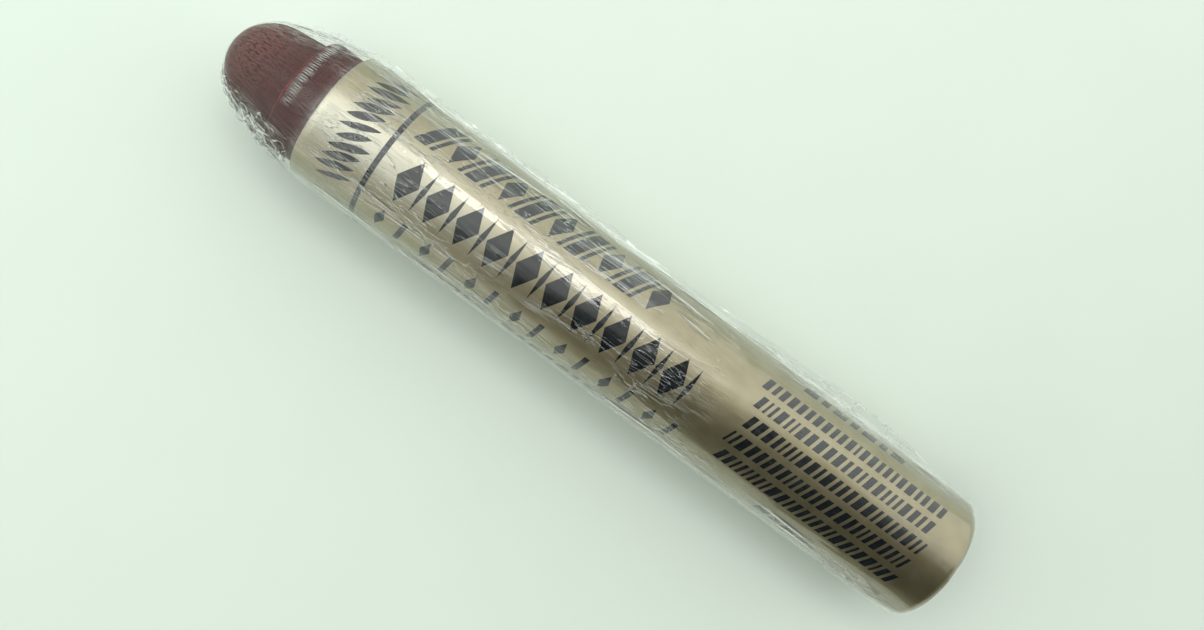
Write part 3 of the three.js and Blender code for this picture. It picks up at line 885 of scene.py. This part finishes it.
def clear_shrink_film():
    """Clear polyolefin shrink film: it mirrors its surroundings as any thin plastic does, more
    towards its edges. Its fine creases run along the stick, with a painted white glint on one side
    and painted dark shade on the other, in a milky layer that is also a painted highlight where
    glare falls near the mouth."""
    made, tree = material("clear_shrink_film")
    # Creases about 0.7 mm apart and up to 10 mm long, where the noise crosses its middle value. In
    # patches they are shorter and lie aslant
    fine, turned = (
        add(tree, "TexNoise", {
            "Vector": millimetres(tree, *stretch), "Scale": 1.0, "Detail": 2.0, "Distortion": 0.5,
        })
        for stretch in ((0.14, 1.5), (0.3, 1.6, 0.5))
    )
    where = add(tree, "TexNoise", {"Vector": millimetres(tree, 0.12, 0.2), "Scale": 1.0, "Detail": 1.0})
    aslant = add(tree, "MapRange", {"Value": where.outputs["Fac"], "From Min": 0.5, "From Max": 0.55})
    either = add(tree, "Mix", {
        "Factor": aslant.outputs["Result"], 2: fine.outputs["Fac"], 3: turned.outputs["Fac"],
    })
    off = add(tree, "Math", {0: either.outputs[0], 1: 0.5}, operation="SUBTRACT")
    size = add(tree, "Math", {0: off.outputs[0]}, operation="ABSOLUTE")
    ridge = add(tree, "MapRange", {
        "Value": size.outputs[0], "From Max": 0.03, "To Min": 1.0, "To Max": 0.0,
    })
    creased = add(tree, "Attribute", attribute_name="creased")
    marks = add(tree, "Math", {
        0: ridge.outputs["Result"], 1: creased.outputs["Fac"],
    }, operation="MULTIPLY")
    # The pleats behind the shoulder, 0.42 mm apart
    wave = add(tree, "TexWave", {
        "Vector": millimetres(tree), "Scale": math.pi / 10 / 0.42, "Distortion": 0.6, "Detail Scale": 0.7,
    }, bands_direction="Y")
    pleat = add(tree, "Attribute", attribute_name="pleat")
    swing = add(tree, "Math", {0: wave.outputs["Fac"], 1: 0.5}, operation="SUBTRACT")
    edge = add(tree, "Math", {0: swing.outputs[0]}, operation="ABSOLUTE")
    pickets = add(tree, "Math", {0: edge.outputs[0], 1: pleat.outputs["Fac"]}, operation="MULTIPLY")
    relief = add(tree, "Math", {0: marks.outputs[0], 1: pickets.outputs[0]}, operation="ADD")
    swell = add(tree, "TexNoise", {"Vector": millimetres(tree, 0.08, 0.4), "Scale": 1.0, "Detail": 1.0})
    height = add(tree, "Math", {
        0: swell.outputs["Fac"], 1: 3.0, 2: relief.outputs[0],
    }, operation="MULTIPLY_ADD")
    bump = add(tree, "Bump", {"Height": height.outputs[0], "Strength": 1.0, "Distance": 0.05 * MM})
    # Which side of a crease gets painted glint, 1, and which painted dark shade, 0. Pleats and sharp bends
    # have sides of their own
    side = add(tree, "MapRange", {"Value": off.outputs[0], "From Min": -0.012, "From Max": 0.012})
    bend = add(tree, "Attribute", attribute_name="bend")
    crest = add(tree, "Math", {0: bend.outputs["Fac"]}, operation="ABSOLUTE")
    crest_side = add(tree, "MapRange", {"Value": bend.outputs["Fac"], "From Min": -0.1, "From Max": 0.1})
    by_pleat = add(tree, "Mix", {
        "Factor": pleat.outputs["Fac"], 2: side.outputs["Result"], 3: wave.outputs["Fac"],
    })
    by_crest = add(tree, "Mix", {
        "Factor": crest.outputs[0], 2: by_pleat.outputs[0], 3: crest_side.outputs["Result"],
    })
    # Painted glint and shade: the milky layer is near white on a crease's glinting side and dark brown on
    # the other
    painted_glint_and_shade = add(tree, "Mix", {
        "Factor": by_crest.outputs[0], 6: srgb("#3c2b26"), 7: srgb("#f6f9f4"),
    }, data_type="RGBA")
    # How much of what lies behind the creases, the pleats, the bends and the milky parts cover with the
    # painted glints, shades and highlight of the milky layer
    haze_and_painted_glare = add(tree, "Attribute", attribute_name="haze_and_painted_glare")
    cover = add(tree, "Math", {0: marks.outputs[0], 1: 0.4}, operation="MULTIPLY")
    for amount, share in (
        (pickets.outputs[0], 1.3), (crest.outputs[0], 0.6), (haze_and_painted_glare.outputs["Fac"], 0.1),
    ):
        cover = add(tree, "Math", {0: amount, 1: share, 2: cover.outputs[0]}, operation="MULTIPLY_ADD")
    cover.use_clamp = True
    # Two faces in air mirror twice as much as one. On the waxy nose the film clings and has one
    mirror = add(tree, "Fresnel", {"IOR": 1.5, "Normal": bump.outputs["Normal"]})
    lustre = add(tree, "Attribute", attribute_name="lustre")
    faces = add(tree, "Math", {0: lustre.outputs["Fac"], 1: 2.0}, operation="MULTIPLY")
    shine = add(tree, "Math", {
        0: mirror.outputs["Fac"], 1: faces.outputs[0],
    }, operation="MULTIPLY", use_clamp=True)
    # Faces seen from behind are only clear
    facing = add(tree, "NewGeometry")
    outside = add(tree, "Math", {0: 1.0, 1: facing.outputs["Backfacing"]}, operation="SUBTRACT")
    gloss_share, milk_share = (
        add(tree, "Math", {0: amount.outputs[0], 1: outside.outputs[0]}, operation="MULTIPLY")
        for amount in (shine, cover)
    )
    clear = add(tree, "BsdfTransparent")
    gloss = add(tree, "BsdfPrincipled", {
        "Base Color": (1, 1, 1, 1), "Metallic": 1.0, "Roughness": 0.06, "Normal": bump.outputs["Normal"],
    })
    milk = add(tree, "BsdfPrincipled", {
        "Base Color": painted_glint_and_shade.outputs[2], "Roughness": 0.5, "Normal": bump.outputs["Normal"],
    })
    coated = add(tree, "MixShader", {0: milk_share.outputs[0], 1: clear.outputs[0], 2: milk.outputs[0]})
    glossed = add(tree, "MixShader", {0: gloss_share.outputs[0], 1: coated.outputs[0], 2: gloss.outputs[0]})
    add(tree, "OutputMaterial", {"Surface": glossed.outputs[0]})
    return made


def dress(piece, finish):
    """Gives a piece its finish in place of any other."""
    piece.data.materials.clear()
    piece.data.materials.append(finish)


# The room: a pale floor, a dome of light, one soft lamp

FLOOR_REACH = 1.5  # metres to each side
FLOOR_DROP = 0.02  # how far the floor lies below the stick
PALE, DIM, PANEL, SEEN = 1.34, 0.02, 1.5, 0.82  # the dome's light, and what the camera sees of it


def studio_floor():
    """A wide square of pale green-white paper under the stick, with painted shade that makes it a
    little darker towards +X and -Y, as the lamp's light falls off.
    """
    size, z = FLOOR_REACH, -FLOOR_DROP * MM
    mesh = bpy.data.meshes.new("floor")
    corners = [(-size, -size, z), (size, -size, z), (size, size, z), (-size, size, z)]
    mesh.from_pydata(corners, [], [(0, 1, 2, 3)])
    floor = placed("floor", mesh)
    made, tree = material("floor_paper")
    place = add(tree, "TexCoord").outputs["Object"]
    fibre = add(tree, "TexNoise", {"Vector": place, "Scale": 0.06 / MM, "Detail": 3.0})
    # Painted shade: the paper's colour darkens along +X and -Y, standing in for light falling off
    run = add(tree, "VectorMath", {0: place, 1: (1.0, -0.5, 0.0)}, operation="DOT_PRODUCT")
    mottle = add(tree, "Math", {
        0: fibre.outputs["Fac"], 1: 0.03, 2: run.outputs["Value"],
    }, operation="MULTIPLY_ADD")
    fibre_and_painted_falloff = add(tree, "MapRange", {"Value": mottle.outputs[0], "From Min": -70 * MM, "From Max": 95 * MM})
    colour = add(tree, "ValToRGB", {"Fac": fibre_and_painted_falloff.outputs["Result"]})
    tones(colour, ("#e9f3e9", "#d8e1d8"), (0, 1))
    surface = add(tree, "BsdfPrincipled", {
        "Base Color": colour.outputs["Color"], "Roughness": 0.9, "Specular IOR Level": 0.1,
    })
    add(tree, "OutputMaterial", {"Surface": surface.outputs[0]})
    floor.data.materials.append(made)


def lamp(name, place, length, breadth, power):
    """A soft lamp of a length along the stick and a breadth across it, at a place in millimetres,
    that faces the stick."""
    data = bpy.data.lights.new(name, "AREA")
    data.shape, data.size, data.size_y, data.energy = "RECTANGLE", length * MM, breadth * MM, power
    made = placed(name, data)
    made.location = Vector(place) * MM
    toward = Vector((0, 0, AXIS_Z * MM)) - made.location
    made.rotation_euler = toward.to_track_quat("-Z", "Y").to_euler()
    return made


def dome_of_light():
    """The walls of the room are pale. Two parts of the room are dim, one overhead behind the
    camera and one towards +X and -Y, and a pale ceiling panel lies overhead towards -X."""
    world = bpy.data.worlds.new("room")
    world.use_nodes = True
    tree = world.node_tree
    tree.nodes.clear()
    way = add(tree, "TexCoord").outputs["Generated"]
    overhead = glow(tree, way, (0.0, 0.02, 1.0), 34, 14)
    aside = glow(tree, way, (0.61, -0.6, 0.52), 57, 37)
    panel = glow(tree, way, (-0.38, 0.01, 0.91), 34, 15)
    dim = add(tree, "Math", {0: overhead, 1: aside}, operation="MAXIMUM")
    level = add(tree, "MapRange", {"Value": dim.outputs[0], "To Min": PALE, "To Max": DIM})
    total = add(tree, "Math", {0: panel, 1: PANEL, 2: level.outputs["Result"]}, operation="MULTIPLY_ADD")
    # The camera sees a plain wall in place of the room
    by_camera = add(tree, "LightPath").outputs["Is Camera Ray"]
    strength = add(tree, "Mix", {"Factor": by_camera, 2: total.outputs[0], 3: SEEN})
    light = add(tree, "Background", {"Color": srgb("#f4faf4"), "Strength": strength.outputs[0]})
    add(tree, "OutputWorld", {"Surface": light.outputs[0]})
    bpy.context.scene.world = world


def glow(tree, way, toward, outer, inner):
    """A soft round spot on the dome: 1 within the inner angle of a direction, 0 past the outer."""
    lean = add(tree, "VectorMath", {0: way, 1: Vector(toward).normalized()}, operation="DOT_PRODUCT")
    spot = add(tree, "MapRange", {
        "Value": lean.outputs["Value"], "From Min": math.cos(math.radians(outer)),
        "From Max": math.cos(math.radians(inner)),
    }, interpolation_type="SMOOTHSTEP")
    return spot.outputs["Result"]


# The camera, fitted to the stick's outline in the photograph
CAMERA_ALONG = 54.1  # from the film's tip
CAMERA_HEIGHT = 146.5  # above the stick's axis
CAMERA_TILT = math.radians(3.30)
CAMERA_ROLL = math.radians(36.54)
FOCAL_LENGTH = 1050  # in the photograph's pixels
PICTURE_WIDTH = 1204


def camera():
    """The photograph's camera: nearly over the middle of the stick, tipped a little towards the
    rear and rolled so that the stick lies aslant."""
    across = Vector((math.cos(CAMERA_TILT), 0, math.sin(CAMERA_TILT)))
    upright = Vector((0, 1, 0))
    right = math.cos(CAMERA_ROLL) * across + math.sin(CAMERA_ROLL) * upright
    up = -math.sin(CAMERA_ROLL) * across + math.cos(CAMERA_ROLL) * upright
    data = bpy.data.cameras.new("camera")
    data.sensor_width = 36.0
    data.lens = FOCAL_LENGTH / PICTURE_WIDTH * data.sensor_width
    data.clip_start, data.clip_end = 0.01, 10
    made = placed("camera", data)
    turn = Matrix((right, up, right.cross(up))).transposed().to_4x4()
    place = Vector((TIP + CAMERA_ALONG, 0, AXIS_Z + CAMERA_HEIGHT)) * MM
    made.matrix_world = Matrix.Translation(place) @ turn
    bpy.context.scene.camera = made


camera()
dome_of_light()
lamp("soft_lamp", (-22, 156, 386), 150, 100, 0.2)
studio_floor()

dress(cast_paint(), cast_oil_paint())
dress(dried_skin(), dried_paint_skin())
dress(card_tube(), rolled_card())
dress(label_wrap(), metallised_paper())
ink = printing_ink()
for printed in printed_design():
    dress(printed, ink)
dress(shrink_film(), clear_shrink_film())

bpy.context.scene.view_settings.view_transform = "Standard"
